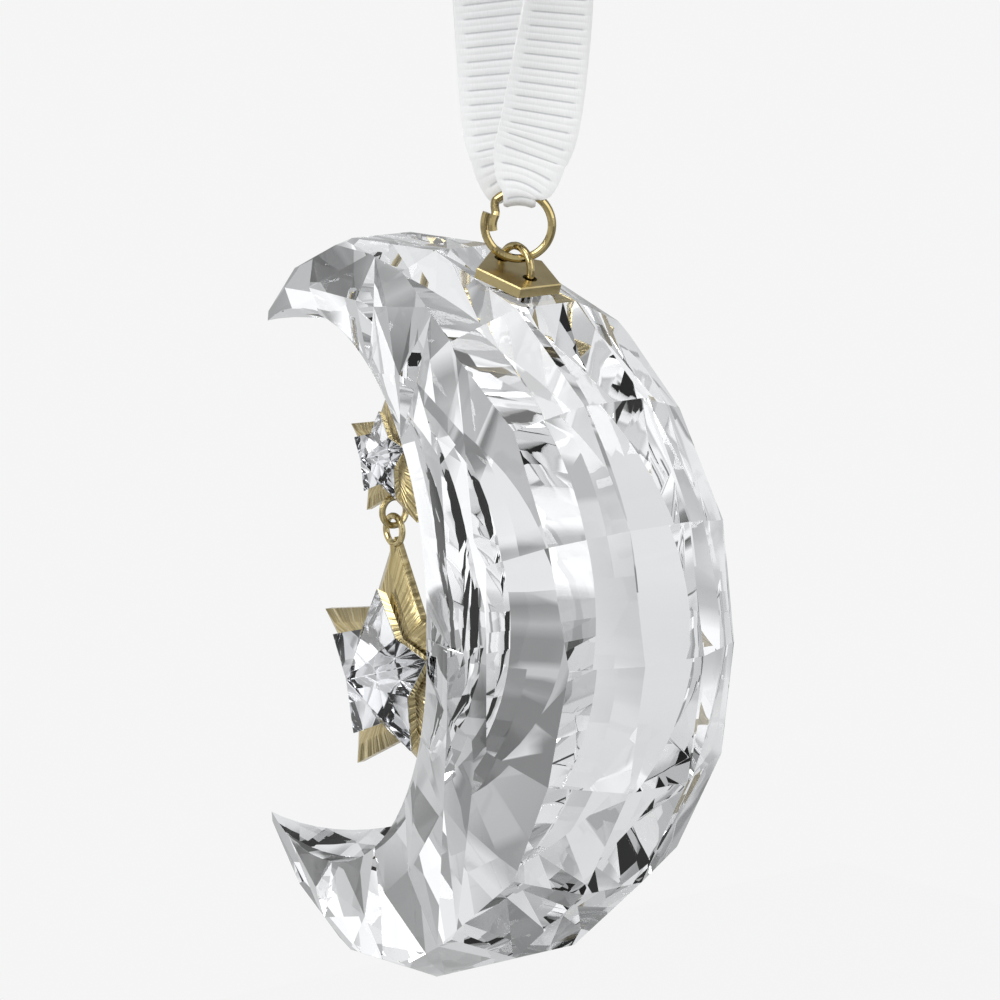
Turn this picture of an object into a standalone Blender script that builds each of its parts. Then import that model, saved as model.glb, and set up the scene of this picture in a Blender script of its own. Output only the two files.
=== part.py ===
# Crystal moon and stars hanging ornament: a faceted crescent with a gilt cap, a split ring on a
# grosgrain ribbon loop, a small star fixed in its opening and a large star that dangles from it.
# Metres, +Z up. The front faces -Y and the crescent opens towards -X. The world origin is the
# inside of the ribbon loop's top, where the ornament hangs.
import math

import bmesh
import bpy
from mathutils import Matrix, Vector

for old in list(bpy.data.objects):
    bpy.data.objects.remove(old, do_unlink=True)

# Clearance between pieces that touch
CLEARANCE = 0.0003

# Crescent: round rim with a row of facets, bevelled to the front and back
RIM_RADIUS = 0.0352
RIM_FACETS = 18
RIM_LAND = 0.0036
CORNER_RADIUS = 0.0318
CORNER_HALF = 0.0112
TABLE_HALF = 0.0123
CROWN_FACETS = 9
CROWN_START_RADIUS = 0.0326
CROWN_START_HALF = 0.0100
CROWN_END_RADIUS = 0.0235
HORN_HALF = 0.0070
HORN_TAPER = 0.26
HORN_FOLD = 0.035
TIP_X = -0.0252

# Opening of the crescent: narrower in height at the back, so that the horns' inner faces slope
OPENING_X = -0.0140
OPENING_REACH = 0.0267
OPENING_FRONT_HEIGHT = 0.0268
OPENING_BACK_HEIGHT = 0.0219
OPENING_SLOPE_START = -0.0008
OPENING_SLOPE_END = 0.0085
OPENING_BEVEL_START = 0.0070
OPENING_BEVEL_SLOPE = 0.9
OPENING_SIDES = 80

# Cap: pentagon plate on one rim facet, with a wire staple through it
CAP_ANGLE = math.radians(70)
CAP_SLIDE = 0.0011
CAP_SHIFT = 0.0004
CAP_RADIUS = 0.0042
CAP_THICKNESS = 0.0010
CAP_EDGE = 0.00012
STAPLE_WIRE = 0.0008
STAPLE_SPAN = 0.0042
STAPLE_DEPTH = 0.0028
RING_LIFT = 0.0010

# Split ring: one wire whose ends lie side by side
RING_RADIUS = 0.0031
RING_WIRE = 0.0008
RING_HEADING = math.radians(50)
RING_INNER_END = 190
RING_SHIFT_FROM = 154
RING_SHIFT_TO = 130
RING_OUTER_END = 158
RING_SHIFT_IN = 0.00075
RING_SHIFT_FRONT = 0.00095

# Ribbon: grosgrain band, gathered where it passes through the ring
RIBBON_WIDTH = 0.0072
RIBBON_THICKNESS = 0.0005
RIBBON_FOLD_WIDTH = 0.0025
RIBBON_FOLD_SHIFT = 0.0001
RIBBON_FOLD_SLACK = 0.0001

# Each point: across the ring, towards the front, height over the ring's top wire, share of the
# full width, and twist in degrees
FRONT_STRAND = [
    (0.0004, 0.0011, 0.0012, 0.70, 0),
    (0.0010, 0.0011, 0.0032, 0.92, 2),
    (0.0019, 0.0012, 0.0060, 1.00, 6),
    (0.0029, 0.0013, 0.0120, 1.00, 18),
    (0.0038, 0.0013, 0.0190, 1.00, 34),
    (0.0044, 0.0010, 0.0260, 1.00, 54),
    (0.0046, 0.0006, 0.0320, 1.00, 74),
    (0.0041, 0.0002, 0.0375, 1.00, 88),
    (0.0027, 0.0000, 0.0420, 1.00, 90),
]
BACK_STRAND = [
    (-0.0006, -0.0011, 0.0012, 0.68, 0),
    (-0.0010, -0.0012, 0.0032, 0.92, 0),
    (-0.0015, -0.0015, 0.0060, 1.00, 2),
    (-0.0020, -0.0018, 0.0120, 1.00, 8),
    (-0.0026, -0.0018, 0.0190, 1.00, 20),
    (-0.0034, -0.0014, 0.0260, 1.00, 44),
    (-0.0040, -0.0008, 0.0320, 1.00, 70),
    (-0.0039, -0.0003, 0.0375, 1.00, 88),
    (-0.0027, 0.0000, 0.0420, 1.00, 90),
]
RIBBON_TOP = 0.0440

# Stars: gilt star with roofed arms, and a crystal star stone on its front
STAR_X = -0.0052
STAR_Y = 0.0007
STAR_YAW = math.radians(-5.2)
SMALL_STAR_Z = 0.0135
SMALL_STAR = {
    "tip": 0.0072, "corner": 0.0038, "edge": 0.0003, "apex": 0.0024, "seat": 0.00075,
    "stone_tip": 0.0045, "stone_corner": 0.0026, "stone_wall": 0.00065, "stone_height": 0.0022,
}
LARGE_STAR = {
    "tip": 0.0131, "corner": 0.0069, "edge": 0.0004, "apex": 0.0042, "seat": 0.0012,
    "stone_tip": 0.0084, "stone_corner": 0.0049, "stone_wall": 0.0011, "stone_height": 0.0039,
}
LARGE_STAR_SET_BACK = 0.00035
LOOP_RADIUS = 0.00137
LOOP_WIRE = 0.00064
LOOP_SINK = 0.0001
LOOP_OVER_TIP = 0.0010
LOOP_NECK = 0.0009
PEG_WIRE = 0.0009
PEG_DEPTH = 0.0032

# Densities used to hang the large star and report the balance, in kg per cubic metre
BRASS_DENSITY = 8500
GLASS_DENSITY = 2500

# Places that follow from the sizes
RIM_APOTHEM = RIM_RADIUS * math.cos(math.pi / RIM_FACETS)
CAP_NORMAL = Vector((math.cos(CAP_ANGLE), 0, math.sin(CAP_ANGLE)))
CAP_ALONG = Vector((math.sin(CAP_ANGLE), 0, -math.cos(CAP_ANGLE)))
RIM_SPOT = CAP_NORMAL * RIM_APOTHEM + CAP_ALONG * CAP_SLIDE
CAP_FOOT = RIM_SPOT + CAP_NORMAL * CLEARANCE
EYE = CAP_FOOT + CAP_NORMAL * (CAP_THICKNESS + RING_LIFT)
RING_TOP = EYE + Vector((0, 0, 2 * RING_RADIUS))
RING_ACROSS = Vector((math.cos(RING_HEADING), math.sin(RING_HEADING), 0))
RING_FRONT = Vector((math.sin(RING_HEADING), -math.cos(RING_HEADING), 0))
HANG_POINT = RING_TOP + Vector((0, 0, RIBBON_TOP - RIBBON_THICKNESS / 2))
LOOP_REACH = LOOP_RADIUS + LOOP_WIRE / 2
UPPER_LOOP_Z = SMALL_STAR_Z - SMALL_STAR["corner"] - LOOP_REACH + LOOP_SINK
LOWER_LOOP_Z = UPPER_LOOP_Z - 2 * LOOP_RADIUS + LOOP_WIRE + CLEARANCE
LINK = Vector((STAR_X, STAR_Y, (UPPER_LOOP_Z + LOWER_LOOP_Z) / 2))
LARGE_STAR_Z = LOWER_LOOP_Z - LOOP_REACH - LARGE_STAR["tip"] + LOOP_OVER_TIP


def material(name, colour, roughness, metallic=0.0, transmission=0.0, ior=1.5):
    made = bpy.data.materials.new(name)
    made.use_nodes = True
    shader = made.node_tree.nodes["Principled BSDF"]
    shader.inputs["Base Color"].default_value = (*colour, 1)
    shader.inputs["Roughness"].default_value = roughness
    shader.inputs["Metallic"].default_value = metallic
    shader.inputs["Transmission Weight"].default_value = transmission
    shader.inputs["IOR"].default_value = ior
    return made


def finish(name, bm, surface, origin=Vector(), smooth_angle=None):
    """Turn a bmesh in crescent coordinates into an object whose origin is at the given point."""
    bmesh.ops.remove_doubles(bm, verts=bm.verts, dist=1e-7)
    bmesh.ops.recalc_face_normals(bm, faces=bm.faces)
    bmesh.ops.translate(bm, verts=bm.verts, vec=-origin)
    mesh = bpy.data.meshes.new(name)
    bm.to_mesh(mesh)
    bm.free()
    if smooth_angle is not None:
        mesh.shade_smooth()
        mesh.set_sharp_from_angle(angle=math.radians(smooth_angle))
    made = bpy.data.objects.new(name, mesh)
    made.location = origin
    made.data.materials.append(surface)
    bpy.context.collection.objects.link(made)
    return made


def boolean(target, tool, operation):
    """Add a live boolean to the target, with the tool kept as a hidden wire object."""
    step = target.modifiers.new(tool.name, "BOOLEAN")
    step.object = tool
    step.operation = operation
    step.solver = "EXACT"
    tool.hide_render = True
    tool.display_type = "WIRE"


def cut_face(bm, point, normal):
    """Grind one flat face on a convex solid: all that lies past the plane goes."""
    everything = bm.verts[:] + bm.edges[:] + bm.faces[:]
    cut = bmesh.ops.bisect_plane(
        bm, geom=everything, dist=1e-7, plane_co=point, plane_no=normal, clear_outer=True
    )
    rim = [e for e in cut["geom_cut"] if isinstance(e, bmesh.types.BMEdge)]
    if rim:
        bmesh.ops.contextual_create(bm, geom=rim)


def bridge(bm, rows, closed_ends=True, looped=False):
    """Join rows of vertices, each a closed ring, into a skin."""
    pairs = list(zip(rows, rows[1:]))
    if looped:
        pairs.append((rows[-1], rows[0]))
    for low, high in pairs:
        for i in range(len(low)):
            j = (i + 1) % len(low)
            bm.faces.new((low[i], low[j], high[j], high[i]))
    if closed_ends and not looped:
        bm.faces.new(rows[0])
        bm.faces.new(rows[-1])


def tube(bm, points, radius, sides=12, looped=False):
    """Sweep a round wire along points, without twist."""
    count = len(points)
    tangents = []
    for i in range(count):
        before = points[i - 1] if looped or i else points[i]
        after = points[(i + 1) % count] if looped or i + 1 < count else points[i]
        tangents.append((after - before).normalized())
    side = tangents[0].orthogonal().normalized()
    rows = []
    for point, along in zip(points, tangents):
        side = (side - along * side.dot(along)).normalized()
        other = along.cross(side)
        row = []
        for k in range(sides):
            turn = 2 * math.pi * k / sides
            row.append(bm.verts.new(point + (side * math.cos(turn) + other * math.sin(turn)) * radius))
        rows.append(row)
    bridge(bm, rows, looped=looped)


def rim_direction(angle):
    return Vector((math.cos(angle), 0, math.sin(angle)))


def faceted_blank():
    """Cut the convex outside of the crescent from a slab, one plane at a time."""
    bm = bmesh.new()
    bmesh.ops.create_cube(bm, size=2)
    bmesh.ops.scale(bm, verts=bm.verts, vec=(1.5 * RIM_RADIUS, TABLE_HALF, 1.5 * RIM_RADIUS))
    step = 2 * math.pi / RIM_FACETS
    for i in range(RIM_FACETS):
        outward = rim_direction((i + 0.5) * step)
        cut_face(bm, outward * RIM_APOTHEM, outward)
    flare = math.atan2(RIM_RADIUS - CORNER_RADIUS, CORNER_HALF - RIM_LAND)
    for front in (-1, 1):
        side = Vector((0, front, 0))
        for i in range(RIM_FACETS):
            outward = rim_direction((i + 0.5) * step)
            normal = outward * math.cos(flare) + side * math.sin(flare)
            cut_face(bm, outward * RIM_APOTHEM + side * RIM_LAND, normal)
        drop = math.atan2(TABLE_HALF - CROWN_START_HALF, CROWN_START_RADIUS - CROWN_END_RADIUS)
        for i in range(CROWN_FACETS):
            outward = rim_direction(2 * math.pi * i / CROWN_FACETS)
            normal = outward * math.sin(drop) + side * math.cos(drop)
            cut_face(bm, outward * CROWN_START_RADIUS + side * CROWN_START_HALF, normal)
        for up in (-1, 1):
            normal = Vector((-HORN_TAPER, front, up * HORN_FOLD)).normalized()
            cut_face(bm, side * HORN_HALF, normal)
    cut_face(bm, Vector((TIP_X, 0, 0)), Vector((-1, 0, 0)))
    return bm


def opening_height(y):
    """Half height of the opening at a depth: full at the front, less at the back."""
    share = (y - OPENING_SLOPE_START) / (OPENING_SLOPE_END - OPENING_SLOPE_START)
    share = min(1, max(0, share))
    return OPENING_FRONT_HEIGHT + (OPENING_BACK_HEIGHT - OPENING_FRONT_HEIGHT) * share


def opening_tool(surface):
    """Loft the wall of the opening through its outlines, bevelled wider at the back."""
    bm = bmesh.new()
    rows = []
    for y in (
        -1.5 * TABLE_HALF, OPENING_SLOPE_START, OPENING_BEVEL_START, OPENING_SLOPE_END,
        1.5 * TABLE_HALF,
    ):
        grown = max(0, y - OPENING_BEVEL_START) * OPENING_BEVEL_SLOPE
        row = []
        for k in range(OPENING_SIDES):
            turn = 2 * math.pi * k / OPENING_SIDES
            x = OPENING_X + (OPENING_REACH + grown) * math.cos(turn)
            row.append(bm.verts.new((x, y, (opening_height(y) + grown) * math.sin(turn))))
        rows.append(row)
    bridge(bm, rows)
    return finish("opening_tool", bm, surface)


def opening_top(x, y):
    """Height of the opening's upper wall over a point."""
    across = (x - OPENING_X) / OPENING_REACH
    return opening_height(y) * math.sqrt(1 - across * across)


def drill(name, surface, start, direction, length, radius):
    bm = bmesh.new()
    tube(bm, [start, start + direction * length], radius, sides=16)
    return finish(name, bm, surface)


def staple_feet():
    """The two places where the staple's legs pass the rim facet."""
    return [RIM_SPOT + CAP_ALONG * (side * STAPLE_SPAN / 2) for side in (-1, 1)]


def crystal_moon(surface):
    """The crescent, with drilled holes for the staple's legs and the small star's peg."""
    moon = finish("crystal_moon", faceted_blank(), surface, smooth_angle=8)
    boolean(moon, opening_tool(surface), "DIFFERENCE")
    hole = STAPLE_WIRE / 2 + CLEARANCE
    for number, foot in enumerate(staple_feet(), 1):
        start = foot - CAP_NORMAL * (STAPLE_DEPTH + CLEARANCE)
        tool = drill(f"staple_drill_{number}", surface, start, CAP_NORMAL, 2 * STAPLE_DEPTH, hole)
        boolean(moon, tool, "DIFFERENCE")
    wall = Vector((STAR_X, STAR_Y, opening_top(STAR_X, STAR_Y)))
    end = wall + Vector((0, 0, PEG_DEPTH + CLEARANCE))
    tool = drill("peg_drill", surface, end, Vector((0, 0, -1)), 2 * PEG_DEPTH, PEG_WIRE / 2 + CLEARANCE)
    boolean(moon, tool, "DIFFERENCE")
    return moon


def cap_plate(surface):
    """Pentagon plate on the rim facet, one corner towards the horns, with holes for the staple."""
    bm = bmesh.new()
    rows = []
    centre = CAP_FOOT + CAP_ALONG * CAP_SHIFT
    levels = (
        (0, CAP_RADIUS),
        (CAP_THICKNESS - CAP_EDGE, CAP_RADIUS),
        (CAP_THICKNESS, CAP_RADIUS - CAP_EDGE),
    )
    for height, radius in levels:
        row = []
        for k in range(5):
            turn = math.pi + 2 * math.pi * k / 5
            flat = CAP_ALONG * math.cos(turn) + Vector((0, 1, 0)) * math.sin(turn)
            row.append(bm.verts.new(centre + CAP_NORMAL * height + flat * radius))
        rows.append(row)
    bridge(bm, rows)
    plate = finish("cap_plate", bm, surface)
    hole = STAPLE_WIRE / 2 + CLEARANCE
    for number, foot in enumerate(staple_feet(), 1):
        start = foot - CAP_NORMAL * CAP_THICKNESS
        tool = drill(f"cap_drill_{number}", surface, start, CAP_NORMAL, 4 * CAP_THICKNESS, hole)
        boolean(plate, tool, "DIFFERENCE")
    return plate


def eye_staple(surface):
    """Low wire arch whose legs go through the plate into the crystal; the ring hangs in it."""
    half = STAPLE_SPAN / 2
    crown = RING_LIFT + RING_WIRE / 2 + CLEARANCE + STAPLE_WIRE / 2
    top = CAP_FOOT + CAP_NORMAL * CAP_THICKNESS
    low = RIM_SPOT - CAP_NORMAL * STAPLE_DEPTH
    points = [low - CAP_ALONG * half, top - CAP_ALONG * half]
    steps = 16
    for k in range(1, steps):
        turn = math.pi * k / steps
        points.append(top - CAP_ALONG * half * math.cos(turn) + CAP_NORMAL * crown * math.sin(turn))
    points += [top + CAP_ALONG * half, low + CAP_ALONG * half]
    bm = bmesh.new()
    tube(bm, points, STAPLE_WIRE / 2)
    return finish("eye_staple", bm, surface, smooth_angle=50)


def jump_ring(surface):
    """Split ring: a bit more than one turn of wire, its ends side by side at the upper left."""
    centre = RING_TOP - Vector((0, 0, RING_RADIUS))
    first, last = RING_INNER_END, RING_OUTER_END - 360
    steps = 88
    points = []
    for k in range(steps + 1):
        angle = first + (last - first) * k / steps
        shift = (angle - RING_SHIFT_TO) / (RING_SHIFT_FROM - RING_SHIFT_TO)
        shift = min(1, max(0, shift))
        shift = shift * shift * (3 - 2 * shift)
        turn = math.radians(angle)
        radius = RING_RADIUS - RING_SHIFT_IN * shift
        flat = RING_ACROSS * math.cos(turn) + Vector((0, 0, 1)) * math.sin(turn)
        points.append(centre + flat * radius + RING_FRONT * (RING_SHIFT_FRONT * shift))
    bm = bmesh.new()
    tube(bm, points, RING_WIRE / 2)
    ring = finish("jump_ring", bm, surface, origin=RING_TOP, smooth_angle=50)
    apart = min(
        (points[i] - points[j]).length
        for i in range(steps // 5)
        for j in range(steps - steps // 5, steps + 1)
    )
    print(f"split ring: least gap between its ends {1000 * (apart - RING_WIRE):.2f} mm")
    return ring


def smooth_route(stations, cuts):
    """Read a smooth closed curve through the stations, with cuts points in each span."""
    count = len(stations)
    route = []
    for i in range(count):
        a, b, c, d = (Vector(stations[(i + k) % count]) for k in (-1, 0, 1, 2))
        for step in range(cuts):
            t = step / cuts
            route.append(
                0.5 * (2 * b + (c - a) * t + (2 * a - 5 * b + 4 * c - d) * t * t
                       + (3 * b - a - 3 * c + d) * t ** 3)
            )
    return route


def ribbon(surface):
    """Closed ribbon loop: through the ring at its foot, a quarter twist, and over at the top."""
    bend = RING_WIRE / 2 + CLEARANCE + RIBBON_FOLD_SLACK + RIBBON_THICKNESS / 2
    fold_share = RIBBON_FOLD_WIDTH / RIBBON_WIDTH
    fold = []
    for degrees in (-180, -135, -90, -45, 0):
        turn = math.radians(degrees)
        share = fold_share * (1.0 + 0.2 * abs(math.cos(turn)))
        fold.append((RIBBON_FOLD_SHIFT, bend * math.cos(turn), bend * math.sin(turn), share, 0))
    crown = [(0, 0, RIBBON_TOP, 1, 90)]
    stations = fold + FRONT_STRAND + crown + BACK_STRAND[::-1]
    packed = [
        (s[0], s[1], s[2]) for s in stations
    ]
    extra = [(s[3], math.radians(s[4]), 0) for s in stations]
    centres = smooth_route(packed, 4)
    shapes = smooth_route(extra, 4)
    count = len(centres)
    bm = bmesh.new()
    rows = []
    for i in range(count):
        across, front, up = centres[i]
        share, twist, _ = shapes[i]
        middle = RING_TOP + RING_ACROSS * across + RING_FRONT * front + Vector((0, 0, up))
        before, after = Vector(centres[i - 1]), Vector(centres[(i + 1) % count])
        step = after - before
        along = (RING_ACROSS * step.x + RING_FRONT * step.y + Vector((0, 0, step.z))).normalized()
        wide = Matrix.Rotation(twist, 3, "Z") @ RING_ACROSS
        wide = (wide - along * wide.dot(along)).normalized()
        thick = wide.cross(along)
        droop = max(0, 1 - max(0, up) / FRONT_STRAND[1][2])
        row = []
        for face in (1, -1):
            for k in range(-2, 3):
                offset = face * k / 2 * share * RIBBON_WIDTH / 2
                fall = droop * (across + offset) ** 2 / (2 * RING_RADIUS)
                point = middle + wide * offset + thick * (face * RIBBON_THICKNESS / 2)
                row.append(bm.verts.new(point - Vector((0, 0, fall))))
        rows.append(row)
    bridge(bm, rows, looped=True)
    length = sum((Vector(centres[i]) - Vector(centres[i - 1])).length for i in range(count))
    print(f"ribbon: {1000 * length:.1f} mm round the loop, {1000 * RIBBON_WIDTH:.1f} mm wide")
    return finish("ribbon", bm, surface, origin=HANG_POINT, smooth_angle=50)


def star_ring(bm, tip, corner, depth):
    """Ten vertices of an upright star outline about the Y axis."""
    row = []
    for k in range(10):
        turn = math.pi / 2 + math.pi * k / 5
        radius = corner if k % 2 else tip
        row.append(bm.verts.new((radius * math.cos(turn), depth, radius * math.sin(turn))))
    return row


def loop_points(centre, across, up):
    steps = 28
    points = []
    for k in range(steps):
        turn = 2 * math.pi * k / steps
        points.append(centre + (across * math.cos(turn) + up * math.sin(turn)) * LOOP_RADIUS)
    return points


def on_chain(made):
    """Move an object modelled about the stars' upright chain line to its place, turned with it."""
    made.location.x, made.location.y = STAR_X, STAR_Y
    made.rotation_euler.z = STAR_YAW
    return made


def star_frame(name, star, height, back, surface, loop, pivot_z=0.0, peg_top=None):
    """Gilt star: flat back, five roofed arms, a flat seat for the stone, and its wire loop.

    The loop is given as its height, the direction across it, and the height of its neck's end.
    """
    loop_z, loop_across, neck_z = loop
    origin = Vector((0, 0, pivot_z))
    bm = bmesh.new()
    rear = star_ring(bm, star["tip"], star["corner"], star["edge"])
    edge = star_ring(bm, star["tip"], star["corner"], -star["edge"])
    bridge(bm, [rear, edge], closed_ends=False)
    bm.faces.new(rear)
    apex = bm.verts.new((0, -star["apex"], 0))
    for k in range(10):
        bm.faces.new((edge[k], edge[(k + 1) % 10], apex))
    bmesh.ops.recalc_face_normals(bm, faces=bm.faces)
    cut_face(bm, Vector((0, -star["seat"], 0)), Vector((0, -1, 0)))
    bmesh.ops.translate(bm, verts=bm.verts, vec=(0, back, height))
    frame = on_chain(finish(name, bm, surface, origin=origin, smooth_angle=12))
    bm = bmesh.new()
    middle = Vector((0, 0, loop_z))
    tube(bm, loop_points(middle, loop_across, Vector((0, 0, 1))), LOOP_WIRE / 2, looped=True)
    boolean(frame, on_chain(finish(f"{name}_loop", bm, surface, origin=origin)), "UNION")
    towards = 1 if neck_z > loop_z else -1
    bm = bmesh.new()
    start = Vector((0, 0, loop_z + towards * LOOP_RADIUS))
    tube(bm, [start, Vector((0, back - star["edge"] / 2, neck_z))], LOOP_NECK / 2)
    boolean(frame, on_chain(finish(f"{name}_neck", bm, surface, origin=origin)), "UNION")
    if peg_top is not None:
        bm = bmesh.new()
        foot = height + star["tip"] - 2 * PEG_WIRE
        tube(bm, [Vector((0, 0, foot)), Vector((0, 0, peg_top))], PEG_WIRE / 2)
        boolean(frame, on_chain(finish(f"{name}_peg", bm, surface, origin=origin)), "UNION")
    return frame


def star_stone(name, star, height, back, surface, pivot_z=0.0):
    """Crystal star: flat back, a low wall and two tiers of facets that rise to a point."""
    bm = bmesh.new()
    foot = -star["seat"] - CLEARANCE
    girdle = foot - star["stone_wall"]
    inset = 0.93
    rear = star_ring(bm, star["stone_tip"] * inset, star["stone_corner"] * inset, foot)
    rim = star_ring(bm, star["stone_tip"], star["stone_corner"], girdle)
    bridge(bm, [rear, rim], closed_ends=False)
    bm.faces.new(rear)
    shoulder = star_ring(
        bm,
        star["stone_tip"] * 0.42,
        star["stone_corner"] * 0.62,
        girdle - star["stone_height"] * 0.62,
    )
    bridge(bm, [rim, shoulder], closed_ends=False)
    point = bm.verts.new((0, girdle - star["stone_height"], 0))
    for k in range(10):
        bm.faces.new((shoulder[k], shoulder[(k + 1) % 10], point))
    bmesh.ops.triangulate(bm, faces=[f for f in bm.faces if len(f.verts) == 4])
    bmesh.ops.translate(bm, verts=bm.verts, vec=(0, back, height))
    return on_chain(finish(name, bm, surface, origin=Vector((0, 0, pivot_z))))


def volume_and_centre(made):
    """Volume and centre of mass of an object's final mesh, in world coordinates."""
    seen = made.evaluated_get(bpy.context.evaluated_depsgraph_get())
    mesh = seen.to_mesh()
    mesh.calc_loop_triangles()
    corners = [made.matrix_world @ v.co for v in mesh.vertices]
    volume, moment = 0.0, Vector()
    for triangle in mesh.loop_triangles:
        a, b, c = (corners[i] for i in triangle.vertices)
        part = a.dot(b.cross(c)) / 6
        volume += part
        moment += part * (a + b + c) / 4
    seen.to_mesh_clear()
    return volume, moment / volume


def balance(pieces):
    """Mass and centre of mass of pieces given with their densities."""
    bpy.context.view_layer.update()
    mass, moment = 0.0, Vector()
    for made, density in pieces:
        volume, centre = volume_and_centre(made)
        mass += volume * density
        moment += centre * volume * density
    return mass, moment / mass


def hang_plumb(pieces, pivot):
    """Lean pieces at the pivot until their centre of mass is right below it, fore and aft."""
    forward = Vector((math.sin(STAR_YAW), -math.cos(STAR_YAW), 0))
    _, centre = balance(pieces)
    lean = math.atan2((centre - pivot).dot(forward), pivot.z - centre.z)
    for made, _ in pieces:
        made.rotation_euler.x = lean
    _, centre = balance(pieces)
    print(f"large star leans {math.degrees(lean):.1f} degrees; its centre of mass is then "
          f"{1000 * (centre - pivot).dot(forward):.2f} mm in front of the link")


def build():
    crystal = material("crystal", (0.95, 0.97, 1.0), 0.02, transmission=1.0, ior=1.55)
    stone = material("star_crystal", (0.97, 0.98, 1.0), 0.01, transmission=1.0, ior=1.6)
    gilt = material("champagne_gilt", (0.62, 0.53, 0.31), 0.24, metallic=1.0)
    cloth = material("white_grosgrain", (0.88, 0.88, 0.88), 0.75)

    moon = crystal_moon(crystal)
    plate = cap_plate(gilt)
    staple = eye_staple(gilt)
    ring = jump_ring(gilt)
    band = ribbon(cloth)

    x_axis, y_axis = Vector((1, 0, 0)), Vector((0, 1, 0))
    peg_top = opening_top(STAR_X, STAR_Y) + PEG_DEPTH
    small_loop = (UPPER_LOOP_Z, y_axis, SMALL_STAR_Z - SMALL_STAR["corner"] / 2)
    small_frame = star_frame(
        "small_star_frame", SMALL_STAR, SMALL_STAR_Z, 0, gilt, small_loop, peg_top=peg_top
    )
    small_stone = star_stone("small_star_stone", SMALL_STAR, SMALL_STAR_Z, 0, stone)
    large_loop = (LOWER_LOOP_Z, x_axis, LARGE_STAR_Z + LARGE_STAR["tip"] * 0.8)
    large_frame = star_frame(
        "large_star_frame", LARGE_STAR, LARGE_STAR_Z, LARGE_STAR_SET_BACK, gilt, large_loop,
        pivot_z=LINK.z,
    )
    large_stone = star_stone(
        "large_star_stone", LARGE_STAR, LARGE_STAR_Z, LARGE_STAR_SET_BACK, stone, pivot_z=LINK.z
    )
    hang_plumb([(large_frame, BRASS_DENSITY), (large_stone, GLASS_DENSITY)], LINK)

    moon_body = [
        (moon, GLASS_DENSITY), (plate, BRASS_DENSITY), (staple, BRASS_DENSITY),
        (small_frame, BRASS_DENSITY), (small_stone, GLASS_DENSITY),
        (large_frame, BRASS_DENSITY), (large_stone, GLASS_DENSITY),
    ]
    mass, centre = balance(moon_body)
    off = centre - EYE
    print(f"hanging mass {1000 * mass:.1f} g, centre {1000 * off.x:.2f}, {1000 * off.y:.2f}, "
          f"{1000 * off.z:.2f} mm from the eye")

    whole = bpy.data.objects.new("ornament", None)
    bpy.context.collection.objects.link(whole)
    for made in list(bpy.data.objects):
        if made is not whole:
            made.parent = whole
    whole.location = -HANG_POINT
    for label, spot in (("ring top", RING_TOP), ("eye", EYE), ("link", LINK)):
        place = (spot - HANG_POINT) * 1000
        print(f"{label}: {place.x:.3f}, {place.y:.3f}, {place.z:.3f} mm")


build()
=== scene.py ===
# Crystal moon and stars ornament: looks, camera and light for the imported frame
import math

import bmesh
import bpy
import numpy as np
from mathutils import Matrix, Vector


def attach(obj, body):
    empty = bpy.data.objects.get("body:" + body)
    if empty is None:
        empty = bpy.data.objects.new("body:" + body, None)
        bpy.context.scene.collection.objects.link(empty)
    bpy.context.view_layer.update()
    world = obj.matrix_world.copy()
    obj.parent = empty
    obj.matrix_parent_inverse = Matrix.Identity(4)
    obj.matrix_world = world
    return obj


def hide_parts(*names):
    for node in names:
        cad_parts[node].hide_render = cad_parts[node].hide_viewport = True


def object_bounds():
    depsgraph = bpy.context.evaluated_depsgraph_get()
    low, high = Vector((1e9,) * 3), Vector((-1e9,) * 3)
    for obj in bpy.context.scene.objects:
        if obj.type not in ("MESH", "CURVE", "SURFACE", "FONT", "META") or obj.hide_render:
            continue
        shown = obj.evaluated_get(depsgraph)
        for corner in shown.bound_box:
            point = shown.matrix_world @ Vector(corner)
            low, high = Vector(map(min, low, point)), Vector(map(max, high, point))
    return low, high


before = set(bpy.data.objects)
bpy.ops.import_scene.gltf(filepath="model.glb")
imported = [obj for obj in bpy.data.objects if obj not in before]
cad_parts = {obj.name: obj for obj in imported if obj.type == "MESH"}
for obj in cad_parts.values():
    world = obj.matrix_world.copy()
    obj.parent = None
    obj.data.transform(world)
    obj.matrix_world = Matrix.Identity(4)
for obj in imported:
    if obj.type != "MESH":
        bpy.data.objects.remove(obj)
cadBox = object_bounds()
print("frame loaded:", sorted(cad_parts))

mm = 0.001
moonCentre = Vector((-13.677, 0, -84.311)) * mm  # the crescent's centre in the row frame
ringTop = Vector((0, 0, -43.75)) * mm
ringTurn = math.radians(50)  # the ring's own turn about the vertical
ringAcross = Vector((math.cos(ringTurn), math.sin(ringTurn), 0))
ringFront = Vector((math.sin(ringTurn), -math.cos(ringTurn), 0))


# Camera: placed by the fit of the crescent's outline, long lens, no roll

cameraSizes = {
    "azimuth": 50.13, "elevation": 11.232, "distance": 0.4897,
    "focalPixels": 5154.8, "imagePixels": 1000, "targetPixel": (423.64, 603.6),
    "sensor": 36, "nearest": 0.01, "farthest": 20, "turns": 30,
}


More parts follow.
